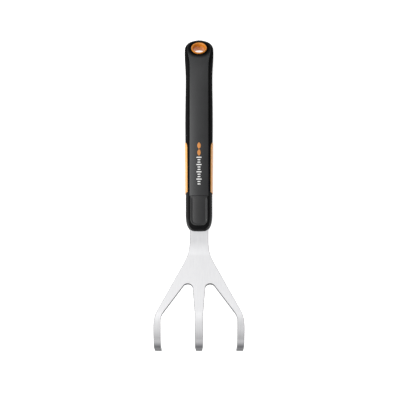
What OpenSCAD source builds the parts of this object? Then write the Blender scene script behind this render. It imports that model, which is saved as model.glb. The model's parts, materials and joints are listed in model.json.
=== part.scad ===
// Hand weeder: a three-tined claw of bent stainless plate, held in a long handle that is built
// from a rigid core, a satin top spine, soft side grips, bright side inlays and a front collar.
// The tool frame has its origin at the butt of the handle on the plane of the tang, with +X towards
// the tines, +Y to the side and +Z up. at_rest() then lays the tool on a level surface, on its
// butt and its tine tips, with the middle of its box over the origin.

/* [Claw] */
// Width over the two outer tines
claw_w = 87.4; // [74:0.2:106]
// Width of each outer tine
tine_w = 6.9; // [6:0.1:9.2]
// Width of the middle tine where it starts to bend
mid_tine_w = 7.8; // [7.4:0.1:11]
// Width of the middle tine at its tip
mid_tip_w = 5.8; // [5:0.1:7.4]
// Thickness of the steel plate
plate_t = 2.5; // [2:0.1:3.2]
// Length of the flat fan between its two bends
fan_len = 62; // [54:0.5:76]
// Rise of the fan above the line of the handle, in degrees
fan_rise = 19; // [12:0.5:22]
// Angle between the axis and the outer edge of the fan
outer_splay = 25.5; // [23:0.5:27]
// Angle between the axis and the inner edge of an outer tine
inner_splay = 33; // [31:0.5:36]
// Radius that flares the neck into the fan
flare_r = 54; // [40:1:60]
// Radius of the outer corner where an outer tine turns along the axis
shoulder_r = 36; // [20:1:42]
// Radius of the inner corner where an outer tine turns along the axis
inner_corner_r = 14; // [6:1:18]
// Distance from the start of the fan to the crotch between two tines
crotch_at = 31.5; // [28:0.5:34]
// Radius of the crotch between two tines
crotch_r = 4.9; // [4:0.1:5.6]
// Middle radius of the bend that turns the tines down
knee_r = 23; // [18:0.5:28]
// Angle through which the tines turn down
knee_turn = 110; // [100:1:116]
// Straight length of a tine below its bend
tip_len = 29.5; // [22:0.5:36]
// Length of the ground bevel at each tip
tip_bevel = 7; // [4:0.5:9]

/* [Neck and tang] */
// Width of the neck
neck_w = 18.5; // [17.5:0.2:21]
// Straight length of the neck in front of its first bend
neck_len = 10.4; // [8:0.2:16]
// Angle by which the neck drops out of the collar
neck_drop = 12; // [8:0.5:15]
// Middle radius of the bend inside the collar
throat_r = 40; // [30:1:48]
// Middle radius of the bend from the neck up into the fan
rise_r = 31; // [24:1:36]
// Width of the tang inside the core
tang_w = 13; // [10:0.2:14]
// Length of the tang behind the first bend
tang_len = 136; // [110:1:150]
// Diameter of the rivets through the tang
rivet_d = 4; // [3:0.1:5]

/* [Handle] */
// Length of the handle from its butt to the nose of the collar
handle_l = 206.5; // [190:0.5:248]
// Width of the grip behind the collar
grip_w = 26.5; // [25:0.1:32]
// Height of the top of the grip above the tang
grip_top = 13.2; // [12:0.1:15]
// Depth of the belly of the grip below the tang
grip_belly = 13; // [12:0.1:15]
// Extra half width of the butt
bulb = 1.55; // [0.8:0.05:2.4]
// Extra half width at the middle of the grip
swell = 0.75; // [0.3:0.05:1.5]
// Extra depth of the heel of the hand
heel = 1.4; // [0.6:0.1:2.4]
// Radius that rounds the butt
butt_r = 12; // [9:0.5:15]
// Length over which the collar rounds off to its nose
nose_r = 19; // [14:0.5:24]

/* [Hanging hole] */
// Diameter of the hole
hole_d = 11.6; // [9:0.1:12.4]
// Distance from the butt to the middle of the hole
hole_x = 12; // [11:0.1:14]
// Tilt of the butt and of the axis of the hole
hole_tilt = 24; // [16:1:28]
// Diameter of the eyelet flanges
flange_d = 16; // [14.6:0.1:17]
// Wall of the eyelet barrel
eyelet_wall = 1.2; // [0.9:0.1:1.4]
// Thickness of the butt along the hole
butt_t = 10; // [9:0.1:12]

/* [Grip parts] */
// Width of the top spine along the grip
spine_w = 19.2; // [18:0.1:21]
// Thickness of the top spine
spine_t = 2.6; // [2:0.1:3.4]
// Extra half width of the spine around the hanging hole
spine_flare = 2.9; // [1.5:0.1:3.2]
// Rim of soft grip left around the spine at the butt
spine_rim = 1.9; // [1.4:0.1:2.6]
// Crown of the spine across its width
spine_crown = 1.3; // [0.5:0.1:1.6]
// Width of the rigid core
core_w = 18; // [17:0.1:19]
// Thickness of the soft grip under the core
under_t = 3; // [2.4:0.1:4]
// Length of each side inlay
inlay_len = 53; // [30:0.5:60]
// Height of each side inlay
inlay_h = 15; // [10:0.2:17]
// How far each inlay stands proud of the soft grip
inlay_proud = 0.55; // [0.2:0.05:0.8]
// Distance from the middle of the tool to the back of an inlay
inlay_back = 11; // [10.4:0.1:11.4]
// Length of the collar at the sides
collar_len = 38.5; // [34:0.5:42]
// Length of the collar over the top
collar_top_len = 33.5; // [30:0.5:34]
// Width of the snap-in cap on the collar
cap_w = 17.2; // [15:0.1:18]
// Thickness of the snap-in cap
cap_t = 2.2; // [1.6:0.1:2.8]
// Distance from the nose of the collar to the round end of the cap
cap_setback = 3.4; // [3:0.1:6]
// Clearance between parts that fit together
fit = 0.12; // [0.05:0.01:0.2]

/* [Hidden] */
$fn = 64;

steel = "lightsteelblue";
charcoal = "#3a3b3d";
black = "#1b1c1d";
orange = "#e8821e";
nylon = "#2a2b2c";
far = 60;

// Places along the tool
throat_x = handle_l - 10;
tang_x = throat_x - tang_len;
shoulder_x = throat_x - 18;
core_x0 = hole_x - flange_d / 2 + 1;
core_x1 = shoulder_x - 2;
collar_x = handle_l - collar_len;
seam_x = handle_l - collar_top_len;
cap_x1 = handle_l - cap_setback;
inlay_x1 = collar_x - fit;
inlay_x0 = inlay_x1 - inlay_len;
inlay_z = 0.8;
rivet_xs = [tang_x + 14, throat_x - 42];

// Thickness of the eyelet flanges, and how far they stand proud of the butt
flange_t = 1;
flange_proud = 0.25;

// The round end of the butt and of the collar starts from a small flat of this depth
end_flat = 0.4;
// Heights round off over a shorter length than widths
butt_edge = 5;
nose_edge = 6;

function bell(x, at, reach) = exp(-pow((x - at) / reach, 2));
function soft_min(a, b, k) = -k * ln(exp(-a / k) + exp(-b / k));
function soft_max(a, b, k) = k * ln(exp(a / k) + exp(b / k));
function round_off(d, r, n) = d >= r ? 1 : pow(1 - pow((r - max(d, 0)) / (r + end_flat), n), 1 / n);

// Half width of the handle before its ends are rounded
function raw_half(x) = grip_w / 2 + bulb * bell(x, 16, 20) + swell * bell(x, 90, 45);
// Factors that round both ends, across the width and across the height
function width_end(x) = round_off(x, butt_r, 2.15) * round_off(handle_l - x, nose_r, 2.9);
function height_end(x) = round_off(x, butt_edge, 2) * round_off(handle_l - x, nose_edge, 2.4);
function half_width(x) = raw_half(x) * width_end(x);

// Top line: level along the grip, falling a little to the collar and tilting down at the butt
function crest(x) = grip_top - 1.2 * max(0, x - 90) / (handle_l - 90);
function butt_plane(x) = -0.1 + (x - hole_x) * tan(hole_tilt);
function raw_top(x) = soft_min(butt_plane(x), crest(x), 4);
// Under line: belly and heel, lifting behind the heel and hooking down under the butt
function belly(x) = -grip_belly - heel * bell(x, 58, 24) + 0.8 * max(0, x - 150) / (handle_l - 150);
function lift(x) = -8.5 - (x - hole_x) * 0.25;
function butt_under(x) = butt_plane(x) - 0.6 - butt_t / cos(hole_tilt);
function raw_under(x) = soft_min(butt_under(x), soft_max(lift(x), belly(x), 1.5), 1.5);

function middle(x) = (raw_top(x) + raw_under(x)) / 2;
function top_line(x) = middle(x) + (raw_top(x) - middle(x)) * height_end(x);
function under_line(x) = middle(x) + (raw_under(x) - middle(x)) * height_end(x);

// Half width of the spine: level, flared around the hole and following the round butt
function spine_flared(x) = spine_w / 2 + spine_flare * bell(x, hole_x, 12);
function spine_butt(x) = (raw_half(x) - spine_rim) * round_off(x - spine_rim, butt_r - spine_rim, 2.15);
function spine_half(x) = min(spine_flared(x), spine_butt(x));
function crease(x) = max(min(spine_half(x), half_width(x) - 0.6), half_width(x) / 2);
function crown(x) = spine_crown * (1 - 0.8 * bell(x, hole_x, 14));

// One ring of the handle: crowned top, steep flanks and a full underside. grow widens the flanks
panel_n = 8;
flank_n = 5;
under_n = 14;
function flank(x, grow, a) =
    let (c = crease(x), w = half_width(x) + grow)
    let (z_top = top_line(x) - crown(x) * height_end(x), z_mid = middle(x))
    [c + (w - c) * pow(sin(a), 1.25), z_mid + (z_top - z_mid) * pow(cos(a), 1.25)];
function panel_point(x, u) = [u * crease(x), top_line(x) - crown(x) * height_end(x) * u * u];
function under_point(x, grow, a) =
    [(half_width(x) + grow) * sign(cos(a)) * pow(abs(cos(a)), 0.8),
    middle(x) - (middle(x) - under_line(x)) * pow(sin(a), 0.8)];
function ring(x, grow) = concat(
    [for (i = [0:panel_n]) panel_point(x, -1 + 2 * i / panel_n)],
    [for (i = [1:flank_n]) flank(x, grow, 90 * i / flank_n)],
    [for (i = [1:under_n - 1]) under_point(x, grow, 180 * i / under_n)],
    [for (i = [flank_n:-1:1]) let (p = flank(x, grow, 90 * i / flank_n)) [-p[0], p[1]]]);

// Rings stand closer together where the ends round off
butt_rings = [for (a = [0:15:75]) butt_r * (1 - cos(a))];
grip_rings = [butt_r + 2, 18, 23, 29, 36, 44, 54, 66, 80, 96, 114, 134, 154];
nose_rings = [for (a = [90:-11.25:0]) handle_l - nose_r * (1 - cos(a))];
all_rings = concat(butt_rings, grip_rings, [collar_x, seam_x, seam_x + 7], nose_rings);
function rings_between(x0, x1) =
    concat([x0], [for (x = all_rings) if (x > x0 + 0.3 && x < x1 - 0.3) x], [x1]);

// The outer form of the handle between two stations
module handle_form(x0, x1, grow = 0) {
    xs = rings_between(x0, x1);
    count = len(ring(x0, grow));
    last = len(xs) - 1;
    points = [for (x = xs) for (p = ring(x, grow)) [x, p[0], p[1]]];
    sides = [for (i = [0:last - 1]) for (j = [0:count - 1])
        let (k = (j + 1) % count)
        [i * count + j, (i + 1) * count + j, (i + 1) * count + k, i * count + k]];
    ends = [[for (j = [0:count - 1]) j], [for (j = [count - 1:-1:0]) last * count + j]];
    polyhedron(points, concat(sides, ends), convexity = 6);
}

// A slab whose upper and lower sides follow two offset copies of the top line
module under_top(x0, x1, depth, width) {
    xs = rings_between(x0, x1);
    upper = [for (x = xs) [x, far]];
    lower = [for (i = [len(xs) - 1:-1:0]) [xs[i], raw_top(xs[i]) - depth]];
    translate([0, width / 2, 0]) rotate([90, 0, 0])
        linear_extrude(width) polygon(concat(upper, lower));
}

// Upright prism over the plan of the spine, grown all round by gap
module spine_plan(gap) {
    xs = rings_between(spine_rim - gap, seam_x - fit / 2 + gap);
    right = [for (x = xs) [x, -spine_half(max(x, spine_rim)) - gap]];
    left = [for (i = [len(xs) - 1:-1:0]) [xs[i], spine_half(max(xs[i], spine_rim)) + gap]];
    translate([0, 0, -far]) linear_extrude(2 * far) polygon(concat(right, left));
}

// Room for the spine: its plan, down to the underside of the spine
module spine_space(gap) {
    intersection() {
        spine_plan(gap);
        under_top(0, seam_x + fit, spine_t + gap, 2 * far);
    }
}

// The rigid core: an upright plate that follows the handle, with a round end about the hole
module core_space(gap) {
    xs = rings_between(core_x0 - gap, core_x1 + gap);
    upper = [for (x = xs) [x, raw_top(x) - spine_t - fit + gap]];
    lower = [for (i = [len(xs) - 1:-1:0]) [xs[i], raw_under(xs[i]) + under_t - gap]];
    intersection() {
        translate([0, far, 0]) rotate([90, 0, 0])
            linear_extrude(2 * far) polygon(concat(upper, lower));
        translate([0, 0, -far]) linear_extrude(2 * far) union() {
            translate([hole_x, 0]) circle(core_w / 2 + gap);
            translate([hole_x, -core_w / 2 - gap]) square([core_x1 - hole_x + gap, core_w + 2 * gap]);
        }
    }
}

// Side outline of an inlay, with a round rear end and a square front end at the collar
module inlay_prism(gap) {
    r = inlay_h / 2 + gap;
    rotate([90, 0, 0]) translate([0, 0, -far]) linear_extrude(2 * far) union() {
        translate([inlay_x0 + inlay_h / 2, inlay_z]) circle(r);
        translate([inlay_x0 + inlay_h / 2, inlay_z - r]) square([inlay_len - inlay_h / 2 + gap, 2 * r]);
    }
}

// Room for one inlay, on the side given as 1 or -1
module inlay_space(side, gap) {
    intersection() {
        inlay_prism(gap);
        mirror([0, side > 0 ? 0 : 1, 0]) translate([0, inlay_back - gap, -far])
            cube([handle_l, far, 2 * far]);
    }
}

// Room for the cap: a strip from the seam of the spine to a front end with round corners
module cap_space(gap) {
    w = cap_w / 2 + gap;
    r = 6;
    intersection() {
        translate([0, 0, -far]) linear_extrude(2 * far) union() {
            translate([seam_x - far, -w]) square([cap_x1 + gap - r - seam_x + far, 2 * w]);
            translate([seam_x, -w + r]) square([cap_x1 + gap - seam_x, 2 * (w - r)]);
            translate([cap_x1 + gap - r, w - r]) circle(r);
            translate([cap_x1 + gap - r, r - w]) circle(r);
        }
        under_top(seam_x + fit / 2 - gap, cap_x1 + 2, cap_t + gap, 2 * far);
    }
}

// Frame of the hanging hole: origin on the top surface, +Z out along the axis of the hole
module at_hole() {
    translate([hole_x, 0, raw_top(hole_x)]) rotate([0, -hole_tilt, 0]) children();
}

// Room for the eyelet: its barrel right through and a seat for each flange
module eyelet_space(gap) {
    at_hole() {
        translate([0, 0, -far / 2]) cylinder(h = far, r = hole_d / 2 + eyelet_wall + gap);
        translate([0, 0, -flange_t - gap]) cylinder(h = far / 2, r = flange_d / 2 + gap);
        translate([0, 0, -butt_t - far / 2 + flange_t + gap]) cylinder(h = far / 2, r = flange_d / 2 + gap);
    }
}

// Bent plate seen from the side: places along its middle line, each as [x, z, heading]
function along(p, length) = [p[0] + length * cos(p[2]), p[1] + length * sin(p[2]), p[2]];
function centre_of(p, turn, r) = [p[0] - sign(turn) * r * sin(p[2]), p[1] + sign(turn) * r * cos(p[2])];
function turned(p, turn, r) =
    let (c = centre_of(p, turn, r), h = p[2] + turn)
    [c[0] + sign(turn) * r * sin(h), c[1] - sign(turn) * r * cos(h), h];
function bend(p, turn, r) =
    let (steps = ceil(abs(turn) / 4))
    [for (i = [0:steps]) i == 0 ? p : turned(p, turn * i / steps, r)];
function side_of(path, d) = [for (p = path) [p[0] - d * sin(p[2]), p[1] + d * cos(p[2])]];
function reversed(list) = [for (i = [len(list) - 1:-1:0]) list[i]];

throat = [throat_x, 0, 0];
neck_start = turned(throat, -neck_drop, throat_r);
rise_start = along(neck_start, neck_len);
fan_start = turned(rise_start, neck_drop + fan_rise, rise_r);
knee_start = along(fan_start, fan_len);
knee_centre = centre_of(knee_start, -knee_turn, knee_r);
knee_end = turned(knee_start, -knee_turn, knee_r);
tip_end = along(knee_end, tip_len);
tang_path = concat([[tang_x, 0, 0]], bend(throat, -neck_drop, throat_r));
claw_path = concat(tang_path, bend(rise_start, neck_drop + fan_rise, rise_r),
    bend(knee_start, -knee_turn, knee_r));

// The outer face of each tip is ground to a bevel that leaves a narrow land
tip_land = 0.9;
grind = concat(side_of([along(knee_end, tip_len - tip_bevel)], plate_t / 2),
    side_of([tip_end], tip_land - plate_t / 2));

// Extrudes a side view across the tool, evenly about its middle
module across(width) {
    rotate([90, 0, 0]) translate([0, 0, -width / 2]) linear_extrude(width) children();
}

// Tang and neck as one bent bar of the full width of the neck, grown all round by gap
module plate(gap) {
    path = concat([along(tang_path[0], -gap)], tang_path, [rise_start]);
    across(neck_w + 2 * gap) polygon(concat(
        side_of(path, plate_t / 2 + gap), reversed(side_of(path, -plate_t / 2 - gap))));
}

// Upright prism over the plan of a straight strip between two stations
module strip_plan(x0, x1, width) {
    translate([x0, -width / 2, -far]) cube([x1 - x0, width, 2 * far]);
}

// Slot for the tang and the bent neck
module tang_space(gap) {
    intersection() {
        plate(gap);
        union() {
            strip_plan(tang_x - gap, shoulder_x + 5, tang_w + 2 * gap);
            strip_plan(shoulder_x - gap, rise_start[0] - 2, neck_w + 2 * gap);
        }
    }
}

function arc(cx, cy, r, a0, a1, n) =
    [for (i = [0:n]) let (a = a0 + (a1 - a0) * i / n) [cx + r * cos(a), cy + r * sin(a)]];
function mirrored(points) = [for (p = reversed(points)) [p[0], -p[1]]];

// Plan of the claw on the plane of the fan, measured from the start of the fan
flare_x = -16;
neck_half = neck_w / 2;
// The wide neck ends just in front of the shoulders of its slot
neck_back = (shoulder_x + 1 - fan_start[0]) * cos(fan_rise) - fan_start[1] * sin(fan_rise);
claw_half = claw_w / 2;
plan_end = fan_len + knee_r + 10;
flare_end = [flare_x + flare_r * sin(outer_splay), neck_half + flare_r * (1 - cos(outer_splay))];
shoulder_y = claw_half - shoulder_r * (1 - cos(outer_splay));
shoulder_cx = flare_end[0] + (shoulder_y - flare_end[1]) / tan(outer_splay) + shoulder_r * sin(outer_splay);
outer_half_plan = concat(
    [[neck_back, neck_half]],
    arc(flare_x, neck_half + flare_r, flare_r, -90, -90 + outer_splay, 10),
    arc(shoulder_cx, claw_half - shoulder_r, shoulder_r, 90 + outer_splay, 90, 10),
    [[plan_end, claw_half]]);

mid_half = mid_tine_w / 2;
mid_root_half = mid_half + 2.15;
tine_inside = claw_half - tine_w;
crotch_c = [crotch_at + crotch_r, mid_root_half + crotch_r];
corner_cy = tine_inside - inner_corner_r;
corner_cx = crotch_c[0] + (corner_cy - crotch_c[1] + (inner_corner_r - crotch_r) * cos(inner_splay))
    / tan(inner_splay) + (inner_corner_r - crotch_r) * sin(inner_splay);
gap_plan = concat(
    arc(crotch_c[0], crotch_c[1], crotch_r, -90, -270 + inner_splay, 16),
    arc(corner_cx, corner_cy, inner_corner_r, 90 + inner_splay, 90, 8),
    [[plan_end + 5, tine_inside], [plan_end + 5, mid_half], [fan_len + 4, mid_half]]);

module claw_plan() {
    difference() {
        polygon(concat(outer_half_plan, mirrored(outer_half_plan)));
        polygon(gap_plan);
        mirror([0, 1]) polygon(gap_plan);
    }
}

// What is trimmed off the straight tines, laid out along +X from the end of the knee
module corner_cut(y, side) {
    corner = 1.2;
    polygon([[tip_len - corner, y], [tip_len + 1, y - side * (corner + 1)], [tip_len + 1, y + side],
        [tip_len - corner, y + side]]);
}

// Taper of the middle tine and the small cut corners of all three tips
module tip_trim() {
    slack = 0.5;
    for (side = [-1, 1]) {
        polygon([[-slack, side * mid_half], [tip_len + 1, side * mid_tip_w / 2],
            [tip_len + 1, side * (mid_half + 2)], [-slack, side * (mid_half + 2)]]);
        corner_cut(side * mid_tip_w / 2, side);
        corner_cut(side * claw_half, side);
        corner_cut(side * tine_inside, -side);
    }
}

// Puts what is drawn on XY onto the plane of the plate at a place on its middle line
module on_plate(place) {
    translate([place[0], 0, place[1]]) rotate([0, -place[2], 0])
        translate([0, 0, -far]) linear_extrude(2 * far) children();
}

// Holes for the rivets, square to the tang
module rivet_holes(d) {
    for (x = rivet_xs)
        translate([x, 0, 0]) cylinder(h = 2 * far, r = d / 2, center = true);
}

// Lowest corner of a tine tip, on its inner face
tip = side_of([tip_end], -plate_t / 2)[0];

// The tool rests on its tine tips and on the lowest ring of the handle
rest_pitch = min([for (x = all_rings) atan2(under_line(x) - tip[1], tip[0] - x)]);
rest_z = tip[0] * sin(rest_pitch) + tip[1] * cos(rest_pitch);
rest_x0 = min([for (x = all_rings) x * cos(rest_pitch) - top_line(x) * sin(rest_pitch)]);
rest_x1 = knee_centre[0] * cos(rest_pitch) - knee_centre[1] * sin(rest_pitch) + knee_r + plate_t / 2;

module at_rest() {
    translate([-(rest_x0 + rest_x1) / 2, 0, -rest_z]) rotate([0, -rest_pitch, 0]) children();
}

// Steel claw with its tang, cut and bent from one plate
module claw_head() {
    color(steel) at_rest() difference() {
        intersection() {
            across(claw_w) polygon(concat(side_of(claw_path, plate_t / 2), grind,
                reversed(side_of(concat(claw_path, [tip_end]), -plate_t / 2))));
            union() {
                strip_plan(tang_x, shoulder_x + 5, tang_w);
                on_plate(fan_start) claw_plan();
            }
        }
        on_plate(knee_end) tip_trim();
        rivet_holes(rivet_d + 2 * fit);
    }
}

// Rigid nylon core that the tang is riveted into
module handle_core() {
    color(nylon) at_rest() difference() {
        core_space(0);
        tang_space(fit);
        rivet_holes(rivet_d + 2 * fit);
        eyelet_space(fit);
    }
}

// Two steel rivets through the core and the tang
module tang_rivets() {
    color("silver") at_rest() for (x = rivet_xs) {
        top = raw_top(x) - spine_t - 1;
        bottom = raw_under(x) + under_t + 0.5;
        translate([x, 0, bottom]) cylinder(h = top - bottom, r = rivet_d / 2);
    }
}

// Satin spine along the top of the handle
module grip_spine() {
    color(charcoal) at_rest() difference() {
        intersection() {
            handle_form(0, seam_x + 2);
            spine_space(0);
        }
        eyelet_space(fit);
    }
}

// Soft grip: flanks, underside and rim of the butt in one moulding
module soft_grip() {
    color(black) at_rest() difference() {
        handle_form(0, collar_x - fit);
        spine_space(fit);
        core_space(fit);
        eyelet_space(fit);
        inlay_space(1, fit);
        inlay_space(-1, fit);
    }
}

// Bright inlay let into one flank of the grip
module side_inlay(side) {
    color(orange) at_rest() intersection() {
        handle_form(inlay_x0 - 4, collar_x + 2, inlay_proud);
        inlay_space(side, 0);
        translate([0, -far, -far]) cube([inlay_x1, 2 * far, 2 * far]);
    }
}

module side_inlay_left() { side_inlay(1); }
module side_inlay_right() { side_inlay(-1); }

// Rigid collar that closes the front of the handle around the neck of the claw
module front_collar() {
    color(black) at_rest() difference() {
        handle_form(collar_x, handle_l);
        spine_space(fit);
        cap_space(fit);
        core_space(fit);
        tang_space(fit);
    }
}

// Snap-in cap over the top of the collar
module collar_cap() {
    color(black) at_rest() intersection() {
        handle_form(seam_x - 4, handle_l);
        cap_space(0);
    }
}

// Eyelet that lines the hanging hole, with a lip on both sides of the butt
module hang_eyelet() {
    bore = hole_d / 2;
    mouth = 0.8;
    lead = 2;
    edge = 0.4;
    barrel = bore + eyelet_wall;
    rim = flange_d / 2;
    top = flange_proud;
    bottom = -butt_t - flange_proud;
    color(orange) at_rest() at_hole() rotate_extrude(convexity = 4) polygon([
        [bore, bottom + lead], [bore + mouth, bottom], [rim - edge, bottom], [rim, bottom + edge],
        [rim, -butt_t + flange_t], [barrel, -butt_t + flange_t], [barrel, -flange_t],
        [rim, -flange_t], [rim, top - edge], [rim - edge, top], [bore + mouth, top],
        [bore, top - lead]]);
}

claw_head();
handle_core();
tang_rivets();
grip_spine();
soft_grip();
side_inlay_left();
side_inlay_right();
front_collar();
collar_cap();
hang_eyelet();
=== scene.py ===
# Looks of the hand weeder. Shapes are worked out in the tool frame, in millimetres: origin at the
# butt of the handle, +X towards the tines, +Z up. to_row() then lays them in the frame of the CAD.
import json
from math import asin, atan2, ceil, cos, pi, radians, sin, tan

import bmesh
import bpy
import numpy as np
from mathutils import Matrix, Vector


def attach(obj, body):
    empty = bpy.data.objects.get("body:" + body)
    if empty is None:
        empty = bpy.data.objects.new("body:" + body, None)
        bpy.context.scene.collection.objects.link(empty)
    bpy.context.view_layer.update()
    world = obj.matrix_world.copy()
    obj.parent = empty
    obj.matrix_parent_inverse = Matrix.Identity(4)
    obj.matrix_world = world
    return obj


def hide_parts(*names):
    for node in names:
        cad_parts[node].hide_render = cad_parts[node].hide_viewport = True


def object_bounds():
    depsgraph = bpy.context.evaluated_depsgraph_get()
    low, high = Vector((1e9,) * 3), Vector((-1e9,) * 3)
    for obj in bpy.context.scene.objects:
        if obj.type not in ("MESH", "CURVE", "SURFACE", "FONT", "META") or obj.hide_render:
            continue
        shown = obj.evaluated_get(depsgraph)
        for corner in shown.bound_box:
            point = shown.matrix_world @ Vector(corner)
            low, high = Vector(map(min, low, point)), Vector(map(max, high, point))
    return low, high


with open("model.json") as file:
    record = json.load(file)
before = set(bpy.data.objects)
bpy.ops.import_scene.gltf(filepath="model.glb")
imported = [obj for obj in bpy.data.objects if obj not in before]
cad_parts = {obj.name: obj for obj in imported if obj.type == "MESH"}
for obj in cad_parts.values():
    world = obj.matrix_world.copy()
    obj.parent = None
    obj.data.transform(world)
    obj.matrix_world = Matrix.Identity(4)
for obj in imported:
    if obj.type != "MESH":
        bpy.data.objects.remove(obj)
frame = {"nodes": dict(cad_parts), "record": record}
cad_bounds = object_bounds()

# Claw: bent plate
claw_w, tine_w, mid_half, mid_tip_half, plate_t = 87.4, 6.9, 3.9, 2.9, 2.5
fan_len, fan_rise, outer_splay, inner_splay = 62, 19, 25.5, 33
flare_x, flare_r, shoulder_r, inner_corner_r = -16, 54, 36, 14
crotch_at, crotch_r, knee_r, knee_turn = 31.5, 4.9, 23, 110
tip_len, tip_bevel, tip_land, tip_corner = 29.5, 7, 0.9, 1.2
neck_half, neck_len, neck_drop, throat_r, rise_r = 9.25, 10.4, 12, 40, 31
tang_half, tang_len, edge_r = 6.5, 136, 0.35
# Extra half width of the middle tine where it leaves the fan
root_flare = 2.15

# Handle
handle_l, grip_w, grip_top, grip_belly = 206.5, 26.5, 13.2, 13
bulb, swell, heel = 1.55, 0.75, 1.4
# Station and reach of each swelling
bulb_at, swell_at, heel_at = (16, 20), (90, 45), (58, 24)
butt_r, nose_r, butt_edge, nose_edge, end_flat = 12, 19, 5, 6, 0.4
# Exponents of the rounded ends in plan and in side view
butt_n, nose_n, butt_edge_n, nose_edge_n = 2.15, 2.9, 2, 2.4
# The dome that closes both ends of the handle: its length, and the stations that it needs
dome_len = 0.35
dome_steps = np.array([0.02, 0.08, 0.2, dome_len])
# Half thickness of the handle that a soft edge at a seam is measured against
section_half = 13
hole_d, hole_x, hole_tilt, flange_d, eyelet_wall, butt_t = 11.6, 12, 24, 16, 1.2, 10
flange_t, flange_proud = 1, 0.25
spine_w, spine_t, spine_flare, spine_rim, spine_crown = 19.2, 2.6, 2.9, 1.9, 1.3
core_half, under_t, collar_len, collar_top_len = 9, 3, 38.5, 33.5
inlay_len, inlay_half, inlay_z, inlay_proud, inlay_back = 53, 7.5, 0.8, 0.55, 11
cap_half, cap_t, cap_setback, cap_r, fit = 8.6, 2.2, 3.4, 6, 0.12

throat_x = handle_l - 10
collar_x = handle_l - collar_len
seam_x = handle_l - collar_top_len
core_x1 = throat_x - 20
cap_x1 = handle_l - cap_setback
inlay_x1 = collar_x - fit
inlay_x0 = inlay_x1 - inlay_len
# Radius of the soft edge along every seam
lip_r = 0.4
# Raised bead round the edge of the cap: its height, half width and distance from the seam
bead_h, bead_half, bead_at = 0.8, 0.55, 0.95


# ---- Form of the handle ----

def bell(x, at, reach):
    return np.exp(-(((x - at) / reach) ** 2))


def soft_min(a, b, k):
    return -k * np.log(np.exp(-a / k) + np.exp(-b / k))


def soft_max(a, b, k):
    return k * np.log(np.exp(a / k) + np.exp(b / k))


def smooth(t):
    t = np.clip(t, 0, 1)
    return t * t * (3 - 2 * t)


def round_off(d, r, n, flat=end_flat):
    d = np.clip(d, 0, r)
    return (1 - ((r - d) / (r + flat)) ** n) ** (1 / n)


def end_dome(x):
    """Closes both ends of the form over a short dome."""
    near = np.clip(np.minimum(x, handle_l - x) / dome_len, 0, 1)
    return np.sqrt(1 - (1 - near) ** 2)


def raw_half(x):
    return grip_w / 2 + bulb * bell(x, *bulb_at) + swell * bell(x, *swell_at)


def half_width(x):
    return raw_half(x) * round_off(x, butt_r, butt_n) * round_off(handle_l - x, nose_r, nose_n) * end_dome(x)


def height_end(x):
    ends = round_off(x, butt_edge, butt_edge_n) * round_off(handle_l - x, nose_edge, nose_edge_n)
    return ends * end_dome(x)


def butt_plane(x):
    return -0.1 + (x - hole_x) * tan(radians(hole_tilt))


def raw_top(x):
    crest = grip_top - 1.2 * np.maximum(0, x - 90) / (handle_l - 90)
    return soft_min(butt_plane(x), crest, 4)


def raw_under(x):
    belly = -grip_belly - heel * bell(x, *heel_at) + 0.8 * np.maximum(0, x - 150) / (handle_l - 150)
    lift = -8.5 - (x - hole_x) * 0.25
    butt_under = butt_plane(x) - 0.6 - butt_t / cos(radians(hole_tilt))
    return soft_min(butt_under, soft_max(lift, belly, 1.5), 1.5)


def middle(x):
    return (raw_top(x) + raw_under(x)) / 2


def top_line(x):
    return middle(x) + (raw_top(x) - middle(x)) * height_end(x)


def under_line(x):
    return middle(x) + (raw_under(x) - middle(x)) * height_end(x)


def spine_flared(x):
    return spine_w / 2 + spine_flare * bell(x, hole_x, 12)


def crease(x):
    """Half width of the crowned top panel: the outline of the spine, and its run-out on the collar."""
    at_butt = (raw_half(x) - spine_rim) * round_off(x - spine_rim, butt_r - spine_rim, butt_n, 0)
    at_nose = np.maximum(np.minimum(spine_flared(x), half_width(x) - 0.6), half_width(x) / 2)
    return np.where(x < 100, np.minimum(spine_flared(x), at_butt), at_nose)


def crown_drop(x):
    share = np.where(x < hole_x, (crease(x) / spine_flared(x)) ** 2, 1)
    return spine_crown * (1 - 0.8 * bell(x, hole_x, 14)) * height_end(x) * share


def panel_z(x, y):
    return top_line(x) - crown_drop(x) * (y / np.maximum(crease(x), 1e-6)) ** 2


def side_point(x, w, grow=0.0):
    """Outer form at station x. w is 0 at the crease, 1 at the widest line and 2 at the bottom."""
    a = np.clip(w, 0, 1) * pi / 2
    b = np.clip(w - 1, 0, 1) * pi / 2
    c, half, mid = crease(x), half_width(x) + grow, middle(x)
    z_top = top_line(x) - crown_drop(x)
    cos_a, cos_b = np.clip(np.cos(a), 0, 1), np.clip(np.cos(b), 0, 1)
    y = np.where(w <= 1, c + (half - c) * np.sin(a) ** 1.25, half * cos_b**0.8)
    z = np.where(w <= 1, mid + (z_top - mid) * cos_a**1.25, mid - (mid - under_line(x)) * np.sin(b) ** 0.8)
    return y, z


def side_place(x, z):
    """The w of a height z."""
    mid = middle(x)
    above = np.clip((z - mid) / np.maximum(top_line(x) - crown_drop(x) - mid, 1e-6), 0, 1)
    below = np.clip((mid - z) / np.maximum(mid - under_line(x), 1e-6), 0, 1)
    return np.where(z >= mid, np.arccos(above**0.8), pi / 2 + np.arcsin(below**1.25)) / (pi / 2)


# ---- Frame ----

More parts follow.
